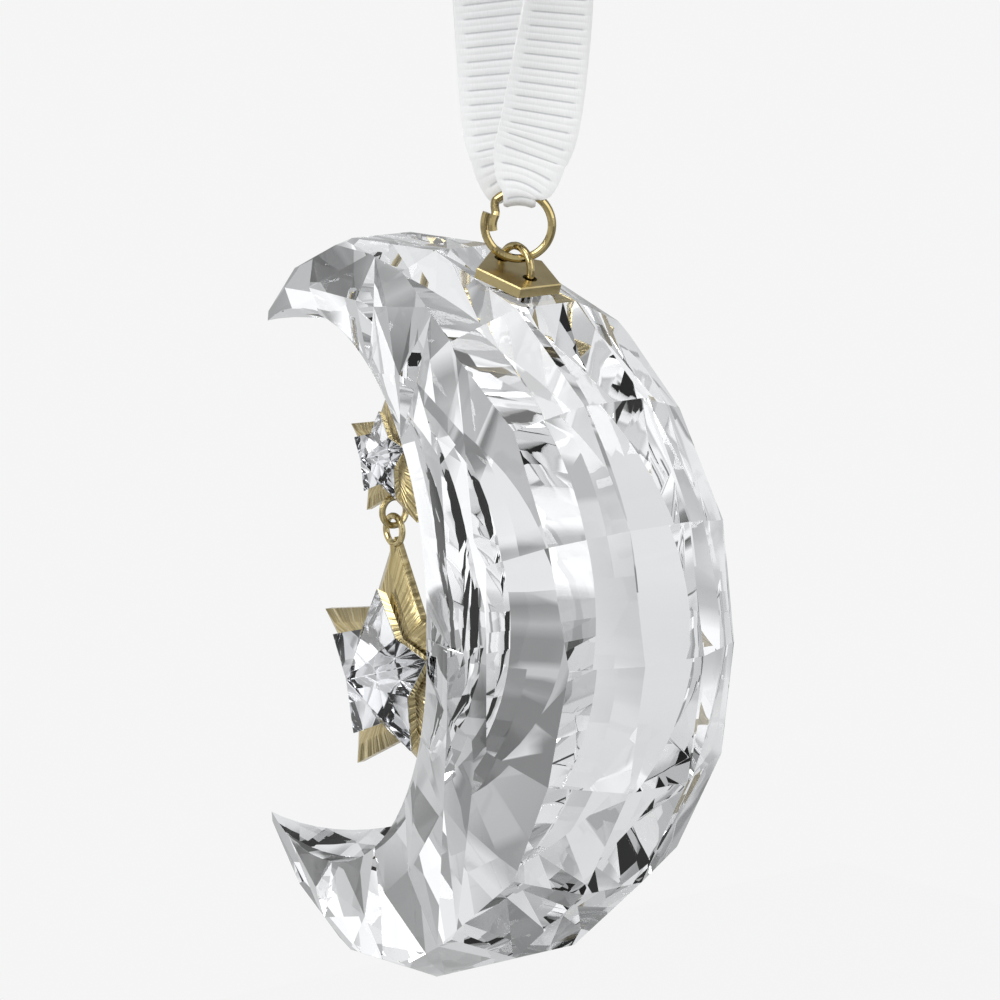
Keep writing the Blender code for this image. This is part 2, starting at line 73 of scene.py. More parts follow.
def makeCamera(c):
    a, e = math.radians(c["azimuth"]), math.radians(c["elevation"])
    back = Vector((math.sin(a) * math.cos(e), -math.cos(a) * math.cos(e), math.sin(e)))
    place = moonCentre + back * c["distance"]
    toMoon = -back
    heading, pitch = math.atan2(toMoon.x, toMoon.y), math.asin(toMoon.z)
    half = c["imagePixels"] / 2
    wantX = (c["targetPixel"][0] - half) / c["focalPixels"]
    wantY = (half - c["targetPixel"][1]) / c["focalPixels"]
    for _ in range(c["turns"]):  # turn until the crescent's centre lands on its pixel
        ahead = Vector((math.cos(pitch) * math.sin(heading), math.cos(pitch) * math.cos(heading),
                        math.sin(pitch)))
        right = Vector((math.cos(heading), -math.sin(heading), 0))
        up = right.cross(ahead)
        depth = toMoon.dot(ahead)
        heading += toMoon.dot(right) / depth - wantX
        pitch += toMoon.dot(up) / depth - wantY
    data = bpy.data.cameras.new("camera")
    data.sensor_width = c["sensor"]
    data.lens = c["focalPixels"] * c["sensor"] / c["imagePixels"]
    data.clip_start = c["nearest"]
    data.clip_end = c["farthest"]
    camera = bpy.data.objects.new("camera", data)
    turn = Matrix((right, up, -ahead)).transposed()
    camera.matrix_world = Matrix.Translation(place) @ turn.to_4x4()
    bpy.context.scene.collection.objects.link(camera)
    bpy.context.scene.camera = camera


makeCamera(cameraSizes)
bpy.context.scene.view_settings.view_transform = "Standard"
print("camera set")


# Node helpers

def addNode(tree, kind, **settings):
    node = tree.nodes.new(kind)
    for key, value in settings.items():
        setattr(node, key, value)
    return node


def wire(tree, *pairs):
    for source, target in pairs:
        tree.links.new(source, target)


def mathNode(tree, operation, first, second=None, clamp=False):
    node = addNode(tree, "ShaderNodeMath", operation=operation, use_clamp=clamp)
    for socket, value in zip(node.inputs, (first, second)):
        if value is None:
            continue
        if isinstance(value, (int, float)):
            socket.default_value = value
        else:
            tree.links.new(value, socket)
    return node.outputs[0]


def mixColour(tree, share, first, second):
    node = addNode(tree, "ShaderNodeMix", data_type="RGBA")
    for index, value in ((0, share), (6, first), (7, second)):
        socket = node.inputs[index]
        if isinstance(value, (int, float)):
            socket.default_value = value
        elif isinstance(value, tuple):
            socket.default_value = (*value, 1)
        else:
            tree.links.new(value, socket)
    return node.outputs[2]


def noiseNode(tree, vector, scale, detail=2):
    node = addNode(tree, "ShaderNodeTexNoise")
    node.inputs["Scale"].default_value = scale
    node.inputs["Detail"].default_value = detail
    tree.links.new(vector, node.inputs["Vector"])
    return node.outputs["Fac"]


def bumpNode(tree, height, strength, depth):
    node = addNode(tree, "ShaderNodeBump")
    node.inputs["Strength"].default_value = strength
    node.inputs["Distance"].default_value = depth
    tree.links.new(height, node.inputs["Height"])
    return node.outputs["Normal"]


def rangeNode(tree, value, fromMin, fromMax, toMin=0.0, toMax=1.0):
    node = addNode(tree, "ShaderNodeMapRange")
    limits = {"From Min": fromMin, "From Max": fromMax, "To Min": toMin, "To Max": toMax}
    for label, limit in limits.items():
        node.inputs[label].default_value = limit
    tree.links.new(value, node.inputs["Value"])
    return node.outputs[0]


def stretchNode(tree, stretch):
    place = addNode(tree, "ShaderNodeTexCoord")
    node = addNode(tree, "ShaderNodeMapping")
    node.inputs["Scale"].default_value = stretch
    tree.links.new(place.outputs["Object"], node.inputs["Vector"])
    return node.outputs["Vector"]


def seenDirectly(tree):  # by the camera, in a reflection or through glass
    path = addNode(tree, "ShaderNodeLightPath")
    seen = mathNode(tree, "ADD", path.outputs["Is Camera Ray"], path.outputs["Is Glossy Ray"])
    return mathNode(tree, "ADD", seen, path.outputs["Is Transmission Ray"], clamp=True)


def newGroup(name, inputs, outputs):
    group = bpy.data.node_groups.new(name, "ShaderNodeTree")
    for label, kind, default in inputs:
        socket = group.interface.new_socket(label, in_out="INPUT", socket_type=kind)
        if default is not None:
            socket.default_value = default
    for label, kind in outputs:
        group.interface.new_socket(label, in_out="OUTPUT", socket_type=kind)
    return group, group.nodes.new("NodeGroupInput"), group.nodes.new("NodeGroupOutput")


def placeGroup(tree, group, **values):
    node = addNode(tree, "ShaderNodeGroup", node_tree=group)
    for key, value in values.items():
        if isinstance(value, (int, float, tuple)):
            node.inputs[key].default_value = value
        else:
            tree.links.new(value, node.inputs[key])
    return node


def linkMesh(name, mesh):
    made = bpy.data.objects.new(name, mesh)
    bpy.context.scene.collection.objects.link(made)
    return made


def newMaterial(name):
    made = bpy.data.materials.new(name)
    made.use_nodes = True
    return made, made.node_tree, made.node_tree.nodes["Principled BSDF"]


# Handling marks: soft clouding for colour and roughness, shared by the metal and the glass

def buildHandling():
    group, source, sink = newGroup(
        "handlingMarks",
        [("Scale", "NodeSocketFloat", 400.0), ("Amount", "NodeSocketFloat", 0.1),
         ("Roughness", "NodeSocketFloat", 0.2)],
        [("Roughness", "NodeSocketFloat"), ("Cloud", "NodeSocketFloat")],
    )
    place = addNode(group, "ShaderNodeTexCoord")
    cloud = addNode(group, "ShaderNodeTexNoise")
    cloud.inputs["Detail"].default_value = 4
    wire(group, (place.outputs["Object"], cloud.inputs["Vector"]),
         (source.outputs["Scale"], cloud.inputs["Scale"]))
    swing = mathNode(group, "SUBTRACT", cloud.outputs["Fac"], 0.5)
    swing = mathNode(group, "MULTIPLY", swing, source.outputs["Amount"])
    rough = mathNode(group, "ADD", swing, source.outputs["Roughness"], clamp=True)
    wire(group, (rough, sink.inputs["Roughness"]), (cloud.outputs["Fac"], sink.inputs["Cloud"]))
    return group


handling = buildHandling()

giltLook = {
    "light": (0.60, 0.50, 0.27), "deep": (0.38, 0.30, 0.135), "roughness": 0.19,
    "cloudScale": 700.0, "cloudAmount": 0.14,
    "brushScale": 5200.0, "brushStretch": (1, 1, 0.12), "brushBump": 0.06, "brushDepth": 0.2 * mm,
}
ringLook = dict(giltLook, light=(0.49, 0.40, 0.20), deep=(0.34, 0.265, 0.115))


def giltMaterial(name, look, polish=0.0):
    made, tree, shader = newMaterial(name)
    marks = placeGroup(tree, handling, Scale=look["cloudScale"], Amount=look["cloudAmount"],
                       Roughness=look["roughness"] - polish)
    brushed = noiseNode(tree, stretchNode(tree, look["brushStretch"]), look["brushScale"])
    normal = bumpNode(tree, brushed, look["brushBump"], look["brushDepth"])
    colour = mixColour(tree, marks.outputs["Cloud"], look["deep"], look["light"])
    wire(tree, (colour, shader.inputs["Base Color"]), (normal, shader.inputs["Normal"]),
         (marks.outputs["Roughness"], shader.inputs["Roughness"]))
    shader.inputs["Metallic"].default_value = 1
    return made


crystalLook = {"tint": (0.985, 0.99, 1.0), "cloudTint": (0.965, 0.97, 0.985), "ior": 1.54,
               "roughness": 0.004, "cloudScale": 90.0, "cloudAmount": 0.004,
               "wave": 0.012, "waveScale": 60.0, "waveDepth": 2 * mm}


def glassMaterial(name, look):
    made, tree, shader = newMaterial(name)
    marks = placeGroup(tree, handling, Scale=look["cloudScale"], Amount=look["cloudAmount"],
                       Roughness=look["roughness"])
    place = addNode(tree, "ShaderNodeTexCoord")
    swell = noiseNode(tree, place.outputs["Object"], look["waveScale"], detail=1)
    normal = bumpNode(tree, swell, look["wave"], look["waveDepth"])
    colour = mixColour(tree, marks.outputs["Cloud"], look["cloudTint"], look["tint"])
    wire(tree, (colour, shader.inputs["Base Color"]), (normal, shader.inputs["Normal"]),
         (marks.outputs["Roughness"], shader.inputs["Roughness"]))
    shader.inputs["Transmission Weight"].default_value = 1
    shader.inputs["IOR"].default_value = look["ior"]
    return made


# Stage: pale floor below the dome, plain world, three lamps, and a dome of soft boxes that only
# reflections and refractions see

stageLook = {
    "background": 0.915, "worldLevel": 0.52,
    "floorDrop": 1.05, "floorSize": 3, "floorColour": 0.8, "floorGlow": 0.985,
    "lamps": [  # name, azimuth, elevation, distance, size, power
        ("keyLamp", 10, 35, 0.6, 0.35, 1.8), ("fillLamp", 100, 20, 0.7, 0.4, 0.7),
        ("topLamp", 60, 80, 0.6, 0.3, 0.8),
    ],
    "domeRadius": 1.0, "domeColumns": 360, "domeRows": 180,
    "domeBase": 0.5, "domeTint": (0.99, 0.997, 1),
    "domeDrift": 0.05, "driftTurns": 7, "driftBend": 40, "driftBends": 5, "driftRises": 11,
    "softboxes": [  # azimuth, elevation, half width, half height, soft edge (degrees), level
        (0, 72, 360, 20, 10, 0.85), (0, -76, 360, 14, 8, 0.3),
        (0, -36, 62, 16, 8, 0.76), (0, -12, 62, 9, 5, 0.6), (0, 5, 62, 8, 5, 0.92),
        (0, 24, 62, 10, 6, 0.68),
        (340, -20, 14, 9, 4, 0.9), (180, 48, 50, 12, 6, 0.36), (150, -45, 35, 16, 5, 0.35),
        (248, -46, 30, 12, 4, 0.86), (250, -12, 13, 24, 2, 0.74), (270, -18, 7, 18, 2, 1.02),
        (245, 22, 25, 10, 3, 0.24), (199, -2, 8, 10, 3, 1.05), (199, -36, 8, 16, 5, 0.1),
        (212, 10, 6, 6, 2, 0.2), (211, -2, 5, 5, 1.5, 0.82),
        (211, -14, 5, 6, 1.5, 0.24), (210, -10.5, 6, 1, 1, 0.42), (210, -17, 6, 0.8, 1, 0.58),
        (211, -25, 5, 4, 1, 0.18), (211, -38, 8, 10, 3, 0.1),
        (220, -3, 4, 5, 1.5, 0.28), (219, -14, 4, 5, 1, 0.5), (227, -12, 3, 3, 1, 0.2),
        (230, -18, 6, 3, 1, 0.72), (224, -24, 8, 4, 1.5, 0.82), (232, -6, 4, 3, 1, 1.05),
        (288, -10, 8, 22, 3, 1.1), (80, 5, 16, 24, 4, 1.12),
        (126, 14, 26, 20, 4, 1.1), (120, -18, 24, 12, 4, 0.3),
        (28, -8, 1.5, 30, 1, 0.03), (326, -14, 1.5, 32, 1, 0.35), (58, -12, 1.2, 20, 1, 0.08),
    ],
}


def makeWorld(look):
    world = bpy.data.worlds.new("studioWorld")
    bpy.context.scene.world = world
    world.use_nodes = True
    tree = world.node_tree
    tree.nodes.clear()
    lit = addNode(tree, "ShaderNodeBackground")
    lit.inputs["Color"].default_value = (1, 1, 1, 1)
    lit.inputs["Strength"].default_value = look["worldLevel"]
    shown = addNode(tree, "ShaderNodeBackground")
    shown.inputs["Color"].default_value = (look["background"],) * 3 + (1,)
    mixed = addNode(tree, "ShaderNodeMixShader")
    out = addNode(tree, "ShaderNodeOutputWorld")
    wire(tree, (seenDirectly(tree), mixed.inputs["Fac"]), (lit.outputs[0], mixed.inputs[1]),
         (shown.outputs[0], mixed.inputs[2]), (mixed.outputs[0], out.inputs["Surface"]))


def softDome(look):
    columns, rows = look["domeColumns"], look["domeRows"]
    turn, rise = np.meshgrid(np.arange(columns), np.linspace(-89.5, 89.5, rows))  # degrees
    level = np.full(turn.shape, look["domeBase"])
    for azimuth, elevation, wide, high, soft, shade in look["softboxes"]:
        aside = (np.abs((turn - azimuth + 180) % 360 - 180) - wide) / soft
        above = (np.abs(rise - elevation) - high) / soft
        mask = np.clip(0.5 - np.maximum(aside, above), 0, 1)
        mask = mask * mask * (3 - 2 * mask)
        level += (shade - level) * mask
    bend = look["driftBend"] * np.sin(np.radians(rise * look["driftBends"]))
    drift = np.sin(np.radians(turn * look["driftTurns"] + bend))
    level *= 1 + look["domeDrift"] * (drift * np.sin(np.radians(rise * look["driftRises"])))
    a, e = np.radians(turn).ravel(), np.radians(rise).ravel()
    spots = np.stack([np.sin(a) * np.cos(e), -np.cos(a) * np.cos(e), np.sin(e)], 1)
    spots = spots * look["domeRadius"] + np.array(moonCentre)
    index = np.arange(columns * rows).reshape(rows, columns)
    beside = np.roll(index, -1, 1)
    faces = np.stack([index[:-1], beside[:-1], beside[1:], index[1:]], -1).reshape(-1, 4)
    mesh = bpy.data.meshes.new("softDome")
    mesh.from_pydata(spots.tolist(), [], faces.tolist())
    levels = mesh.attributes.new("level", "FLOAT", "POINT")
    levels.data.foreach_set("value", level.ravel().astype(np.float32))
    made = linkMesh("softDome", mesh)
    paint = bpy.data.materials.new("softDome")
    paint.use_nodes = True
    tree = paint.node_tree
    tree.nodes.clear()
    shade = addNode(tree, "ShaderNodeAttribute", attribute_name="level")
    glow = addNode(tree, "ShaderNodeEmission")
    glow.inputs["Color"].default_value = (*look["domeTint"], 1)
    out = addNode(tree, "ShaderNodeOutputMaterial")
    wire(tree, (shade.outputs["Fac"], glow.inputs["Strength"]), (glow.outputs[0], out.inputs["Surface"]))
    mesh.materials.append(paint)
    for kind in ("camera", "diffuse", "shadow"):
        setattr(made, "visible_" + kind, False)


def areaLamp(name, place, target, size, power):
    data = bpy.data.lights.new(name, "AREA")
    data.shape = "RECTANGLE"
    data.size, data.size_y = size
    data.energy = power
    lamp = bpy.data.objects.new(name, data)
    turn = (Vector(target) - Vector(place)).to_track_quat("-Z", "Y").to_matrix().to_4x4()
    lamp.matrix_world = Matrix.Translation(place) @ turn
    bpy.context.scene.collection.objects.link(lamp)


def around(azimuth, elevation, distance):
    a, e = math.radians(azimuth), math.radians(elevation)
    return moonCentre + Vector((math.sin(a) * math.cos(e), -math.cos(a) * math.cos(e),
                                math.sin(e))) * distance


def makeStage(look):
    makeWorld(look)
    low = cadBox[0][2] - look["floorDrop"]
    bm = bmesh.new()
    bmesh.ops.create_grid(bm, x_segments=1, y_segments=1, size=look["floorSize"])
    bmesh.ops.translate(bm, verts=bm.verts, vec=(0, 0, low))
    mesh = bpy.data.meshes.new("floor")
    bm.to_mesh(mesh)
    bm.free()
    floor = linkMesh("floor", mesh)
    paint = bpy.data.materials.new("palePaper")
    paint.use_nodes = True
    tree = paint.node_tree
    tree.nodes.clear()
    plain = addNode(tree, "ShaderNodeBsdfDiffuse")
    plain.inputs["Color"].default_value = (look["floorColour"],) * 3 + (1,)
    glow = addNode(tree, "ShaderNodeEmission")
    glow.inputs["Color"].default_value = (look["background"],) * 3 + (1,)
    mixed = addNode(tree, "ShaderNodeMixShader")
    out = addNode(tree, "ShaderNodeOutputMaterial")
    share = mathNode(tree, "MULTIPLY", seenDirectly(tree), look["floorGlow"])
    wire(tree, (share, mixed.inputs["Fac"]), (plain.outputs[0], mixed.inputs[1]),
         (glow.outputs[0], mixed.inputs[2]), (mixed.outputs[0], out.inputs["Surface"]))
    mesh.materials.append(paint)
    for name, azimuth, elevation, distance, size, power in look["lamps"]:
        areaLamp(name, around(azimuth, elevation, distance), moonCentre, (size, size), power)
    softDome(look)


makeStage(stageLook)
print("stage set")


# Crescent: the ground facets as whole faces, with fine polished edges

def copyOfNode(node, name, merge=0.001 * mm, flat=math.radians(0.4)):
    bm = bmesh.new()
    bm.from_mesh(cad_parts[node].data)
    bmesh.ops.remove_doubles(bm, verts=bm.verts, dist=merge)
    bmesh.ops.dissolve_limit(bm, angle_limit=flat, verts=bm.verts, edges=bm.edges)
    mesh = bpy.data.meshes.new(name)
    bm.to_mesh(mesh)
    bm.free()
    return linkMesh(name, mesh)


def addBevel(made, width, angle=None, segments=1):
    bevel = made.modifiers.new("bevel", "BEVEL")
    bevel.width = width
    bevel.segments = segments
    bevel.limit_method = "WEIGHT" if angle is None else "ANGLE"
    if angle is not None:
        bevel.angle_limit = math.radians(angle)


def finishMesh(made, smoothAngle):
    seen = made.evaluated_get(bpy.context.evaluated_depsgraph_get())
    mesh = bpy.data.meshes.new_from_object(seen)
    made.modifiers.clear()
    made.data = mesh
    mesh.shade_smooth()
    mesh.set_sharp_from_angle(angle=math.radians(smoothAngle))
    if "soft" in mesh.attributes:  # faces polished as one curved band
        bm = bmesh.new()
        bm.from_mesh(mesh)
        soft = bm.faces.layers.int["soft"]
        for edge in bm.edges:
            if all(f[soft] for f in edge.link_faces):
                edge.smooth = True
        bm.to_mesh(mesh)
        bm.free()


crescentLook = {
    "edge": 0.10 * mm, "edgeFrom": 9.0,  # fine polished edges, where the facets turn by this angle
    "innerChamfer": 1.1 * mm, "openingX": -14.0 * mm,
    "faceFrom": 0.8, "wallTo": 0.6,  # share of the normal along Y that marks the face and the wall
    "wedgeFrom": 0.95, "wedgeLean": -0.2,  # the two flat faces that lean to the horns
    "wedgeArea": 200 * mm ** 2,
    "softFrom": 62,  # inside this angle the inner ring of facets is polished as one band
    "grinds": [  # side, then for each cut its angle, the keel's place across the face and its rise
        (-1, [(-112, 0.5, 0.16), (-90, 0.6, 0.13), (-66, 0.5, 0.11), (-42, 0.66, 0.07),
              (-20, 0.56, 0.05), (0, 0.66, 0.06), (22, 0.56, 0.05), (46, 0.66, 0.07),
              (70, 0.5, 0.12), (92, 0.6, 0.15), (113, 0.5, 0.17)]),
        (1, [(-115, 0.5, 0.12), (-96, 0.6, 0.10), (-76, 0.4, 0.09), (-54, 0.5, 0.03), (-32, 0.5, 0.0),
             (-10, 0.5, 0.0), (10, 0.5, 0.0), (34, 0.5, 0.0), (56, 0.5, 0.04), (78, 0.4, 0.09),
             (98, 0.6, 0.11), (116, 0.5, 0.12)]),
    ],
}


def reachAlong(outline, angle):
    ray = Vector((math.cos(angle), math.sin(angle)))
    side = Vector((-ray.y, ray.x))
    hits = []
    for a, b in zip(outline, outline[1:] + outline[:1]):
        low, high = a.dot(side), b.dot(side)
        if (low < 0) != (high < 0):
            spot = a.lerp(b, low / (low - high))
            if spot.dot(ray) > 0:
                hits.append(spot.dot(ray))
    return (min(hits), max(hits)) if len(hits) > 1 else None


def grindFaces(bm, side, cuts, look):
    def flat(spot):
        return Vector((spot.x - moonCentre.x, spot.z - moonCentre.z))

    def wedge():
        return [f for f in bm.faces
                if f.normal.y * side > look["wedgeFrom"] and f.normal.x < look["wedgeLean"]]

    def split(faces, point, normal):
        geometry = dict.fromkeys(part for f in faces for part in (*f.verts, *f.edges, f))
        bmesh.ops.bisect_plane(bm, geom=list(geometry), dist=1e-7, plane_co=point, plane_no=normal)

    outlines = [[flat(v.co) for v in f.verts] for f in wedge() if f.calc_area() > look["wedgeArea"]]
    keelSpots = []
    for degrees, place, rise in cuts:
        angle = math.radians(degrees)
        reach = [r for r in (reachAlong(o, angle) for o in outlines) if r]
        near, far = min(r[0] for r in reach), max(r[1] for r in reach)
        keelSpots.append((angle, near + place * (far - near), rise * (far - near)))
        split(wedge(), moonCentre, (-math.sin(angle), 0, math.cos(angle)))
    tips = [max((p for o in outlines for p in o if p.y * up > 0), key=lambda p: -p.x) for up in (-1, 1)]
    chain = [tips[0]] + [Vector((math.cos(a), math.sin(a))) * r for a, r, _ in keelSpots] + [tips[1]]
    for first, last in zip(chain, chain[1:]):
        low, high = math.atan2(first.y, first.x), math.atan2(last.y, last.x)
        middles = [(f, flat(f.calc_center_median())) for f in wedge()]
        group = [f for f, spot in middles if low < math.atan2(spot.y, spot.x) < high]
        along = last - first
        split(group, moonCentre + Vector((first.x, 0, first.y)), (-along.y, 0, along.x))
    ground = wedge()
    for (_, _, rise), spot in zip(keelSpots, chain[1:-1]):
        near = min((v for f in ground for v in f.verts), key=lambda v: (flat(v.co) - spot).length)
        near.co.y += side * rise
    for face in bmesh.ops.triangulate(bm, faces=ground, ngon_method="EAR_CLIP")["faces"]:
        spot = flat(face.calc_center_median())
        angle = math.atan2(spot.y, spot.x)
        keelRadius = np.interp(angle, [k[0] for k in keelSpots], [k[1] for k in keelSpots])
        inner = spot.length < keelRadius and abs(angle) < math.radians(look["softFrom"])
        face[bm.faces.layers.int["soft"]] = int(inner)


def makeCrescent(look):
    made = copyOfNode("crystal_moon", "crescentCrystal")
    bm = bmesh.new()
    bm.from_mesh(made.data)
    bm.faces.layers.int.new("soft")
    for side, cuts in look["grinds"]:
        grindFaces(bm, side, cuts, look)
    weight = bm.edges.layers.float.new("bevel_weight_edge")
    middle = moonCentre + Vector((look["openingX"], 0, 0))
    for edge in bm.edges:  # fine edges all over, a wider chamfer round the front of the opening
        if len(edge.link_faces) < 2 or edge.calc_face_angle() < math.radians(look["edgeFrom"]):
            continue
        edge[weight] = look["edge"] / look["innerChamfer"]
        front, wall = sorted(edge.link_faces, key=lambda f: f.normal.y)
        inward = middle - (edge.verts[0].co + edge.verts[1].co) / 2
        faceAndWall = front.normal.y < -look["faceFrom"] and abs(wall.normal.y) < look["wallTo"]
        if faceAndWall and wall.normal.dot(inward) > 0:
            edge[weight] = 1
    bm.to_mesh(made.data)
    bm.free()
    addBevel(made, look["innerChamfer"])
    finishMesh(made, smoothAngle=5)
    made.data.materials.clear()
    made.data.materials.append(glassMaterial("crescentGlass", crystalLook))
    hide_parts("crystal_moon")
    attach(made, "moon")


makeCrescent(crescentLook)
print("crescent made")


# Ribbon: grosgrain, its route as in the solids, its ribs raised by Geometry Nodes

ribbonSizes = {
    "width": 7.2 * mm, "thickness": 0.42 * mm, "bend": 1.05 * mm, "foldShare": 2.5 / 7.2,
    "foldShift": 0.1 * mm, "top": 44.0 * mm, "ringRadius": 3.1 * mm, "droopHeight": 3.2 * mm,
    "rowStep": 0.062 * mm, "columns": 14, "curveCuts": 60, "pathPoints": 160,
    "thinFrom": 0.93, "thinShare": 0.75,  # the last part of the half width thins to a selvedge
    "ribPitch": 0.66 * mm, "ribHeight": 0.075 * mm, "selvedge": 0.13,
    "fineShare": 0.55, "finePower": 0.6, "selvedgeSlope": 18.0, "selvedgeHeight": 0.8,
}
frontStrand = [  # across the ring, to the front, up from the ring's top, share of width, twist
    (0.4, 1.1, 1.2, 0.70, 0), (1.0, 1.1, 3.2, 0.92, 2), (1.9, 1.2, 6.0, 1, 6),
    (2.9, 1.3, 12.0, 1, 18), (3.8, 1.3, 19.0, 1, 34), (4.4, 1.0, 26.0, 1, 54),
    (4.6, 0.6, 32.0, 1, 74), (4.1, 0.2, 37.5, 1, 88), (2.7, 0.0, 42.0, 1, 90),
]
backStrand = [
    (-0.6, -1.1, 1.2, 0.68, 0), (-1.0, -1.2, 3.2, 0.92, 0), (-1.5, -1.5, 6.0, 1, 2),
    (-2.0, -1.8, 12.0, 1, 8), (-2.6, -1.8, 19.0, 1, 20), (-3.4, -1.4, 26.0, 1, 44),
    (-4.0, -0.8, 32.0, 1, 70), (-3.9, -0.3, 37.5, 1, 88), (-2.7, 0.0, 42.0, 1, 90),
]


def ribbonRoute(r):
    def foldPoint(degrees):
        turn = math.radians(degrees)
        share = r["foldShare"] * (1 + 0.2 * abs(math.cos(turn)))
        return (r["foldShift"], r["bend"] * math.cos(turn), r["bend"] * math.sin(turn), share, 0)

    scaled = [[(a * mm, f * mm, u * mm, s, t) for a, f, u, s, t in strand]
              for strand in (frontStrand, backStrand)]
    stations = [foldPoint(d) for d in (-90, -45, 0)] + scaled[0] + [(0, 0, r["top"], 1, 90)]
    stations += scaled[1][::-1] + [foldPoint(d) for d in (-180, -135)]
    points = np.array(stations)
    count, cuts = len(points), r["curveCuts"]
    t = (np.arange(cuts) / cuts)[:, None]
    dense = []
    for i in range(count):
        a, b, c, d = (points[(i + k) % count] for k in (-1, 0, 1, 2))
        dense.append(0.5 * (2 * b + (c - a) * t + (2 * a - 5 * b + 4 * c - d) * t ** 2
                            + (3 * b - a - 3 * c + d) * t ** 3))
    dense = np.vstack(dense + [dense[0][:1]])
    steps = np.linalg.norm(np.diff(dense[:, :3], axis=0), axis=1)
    along = np.concatenate([[0], np.cumsum(steps)])
    rows = int(along[-1] / r["rowStep"])
    even = np.linspace(0, along[-1], rows + 1)[:-1]
    return np.stack([np.interp(even, along, dense[:, k]) for k in range(5)], 1), even, along[-1]


def ribGroup(r):
    group = bpy.data.node_groups.new("grosgrainCords", "GeometryNodeTree")
    for label, kind in (("Geometry", "Geometry"), ("Pitch", "Float"), ("Height", "Float"),
                        ("Selvedge", "Float"), ("Material", "Material")):
        group.interface.new_socket(label, in_out="INPUT", socket_type="NodeSocket" + kind)
    group.interface.new_socket("Geometry", in_out="OUTPUT", socket_type="NodeSocketGeometry")
    source, sink = group.nodes.new("NodeGroupInput"), group.nodes.new("NodeGroupOutput")

    def read(name):
        node = addNode(group, "GeometryNodeInputNamedAttribute", data_type="FLOAT")
        node.inputs["Name"].default_value = name
        return node.outputs["Attribute"]

    turns = mathNode(group, "DIVIDE", read("along"), source.outputs["Pitch"])
    fine = mathNode(group, "SINE", mathNode(group, "MULTIPLY", turns, math.pi))
    fine = mathNode(group, "POWER", mathNode(group, "ABSOLUTE", fine), r["finePower"])
    broad = mathNode(group, "SINE", mathNode(group, "MULTIPLY", turns, math.pi / 2))
    broad = mathNode(group, "ABSOLUTE", broad)
    cord = mathNode(group, "ADD", mathNode(group, "MULTIPLY", fine, r["fineShare"]),
                    mathNode(group, "MULTIPLY", broad, 1 - r["fineShare"]))
    inside = mathNode(group, "SUBTRACT", 1.0, mathNode(group, "ABSOLUTE", read("across")))
    inside = mathNode(group, "SUBTRACT", inside, source.outputs["Selvedge"])
    mask = mathNode(group, "MULTIPLY", inside, r["selvedgeSlope"], clamp=True)
    edge = mathNode(group, "MULTIPLY", mathNode(group, "SUBTRACT", 1.0, mask), r["selvedgeHeight"])
    share = mathNode(group, "ADD", mathNode(group, "MULTIPLY", cord, mask), edge)
    keep = addNode(group, "GeometryNodeStoreNamedAttribute", data_type="FLOAT", domain="POINT")
    keep.inputs["Name"].default_value = "cordHeight"
    raised = mathNode(group, "MULTIPLY", share, source.outputs["Height"])
    normal = addNode(group, "GeometryNodeInputNormal")
    push = addNode(group, "ShaderNodeVectorMath", operation="SCALE")
    shift = addNode(group, "GeometryNodeSetPosition")
    real = addNode(group, "GeometryNodeRealizeInstances")
    paint = addNode(group, "GeometryNodeSetMaterial")
    wire(group, (source.outputs["Geometry"], keep.inputs["Geometry"]), (share, keep.inputs["Value"]),
         (normal.outputs[0], push.inputs[0]), (raised, push.inputs["Scale"]),
         (keep.outputs[0], shift.inputs["Geometry"]), (push.outputs[0], shift.inputs["Offset"]),
         (shift.outputs[0], real.inputs[0]), (real.outputs[0], paint.inputs["Geometry"]),
         (source.outputs["Material"], paint.inputs["Material"]), (paint.outputs[0], sink.inputs[0]))
    return group


# painted shade: the valleys between the cords are painted grey and the crests white, chosen by the
# cords' height
clothLook = {
    "valleyPaintedShade": (0.60, 0.61, 0.63), "crest": (0.93, 0.935, 0.94), "shadeRange": (0.15, 0.55),
    "threadScale": 6000, "threadStretch": (1, 1, 0.25), "threadShade": (0.93, 0.93, 0.93),
    "threadBump": 0.25, "threadDepth": 0.05 * mm, "roughness": 0.7, "sheen": 0.25,
}


def grosgrainMaterial(look):
    made, tree, shader = newMaterial("whiteGrosgrain")
    cord = addNode(tree, "ShaderNodeAttribute", attribute_name="cordHeight")
    height = rangeNode(tree, cord.outputs["Fac"], *look["shadeRange"])
    thread = noiseNode(tree, stretchNode(tree, look["threadStretch"]), look["threadScale"])
    normal = bumpNode(tree, thread, look["threadBump"], look["threadDepth"])
    # painted shade in the valleys between the cords, white on the crests
    shade = mixColour(tree, height, look["valleyPaintedShade"], look["crest"])
    faint = mixColour(tree, thread, look["threadShade"], (1, 1, 1))
    both = addNode(tree, "ShaderNodeMix", data_type="RGBA", blend_type="MULTIPLY")
    both.inputs[0].default_value = 1
    wire(tree, (shade, both.inputs[6]), (faint, both.inputs[7]), (normal, shader.inputs["Normal"]),
         (both.outputs[2], shader.inputs["Base Color"]))
    shader.inputs["Roughness"].default_value = look["roughness"]
    shader.inputs["Sheen Weight"].default_value = look["sheen"]
    return made


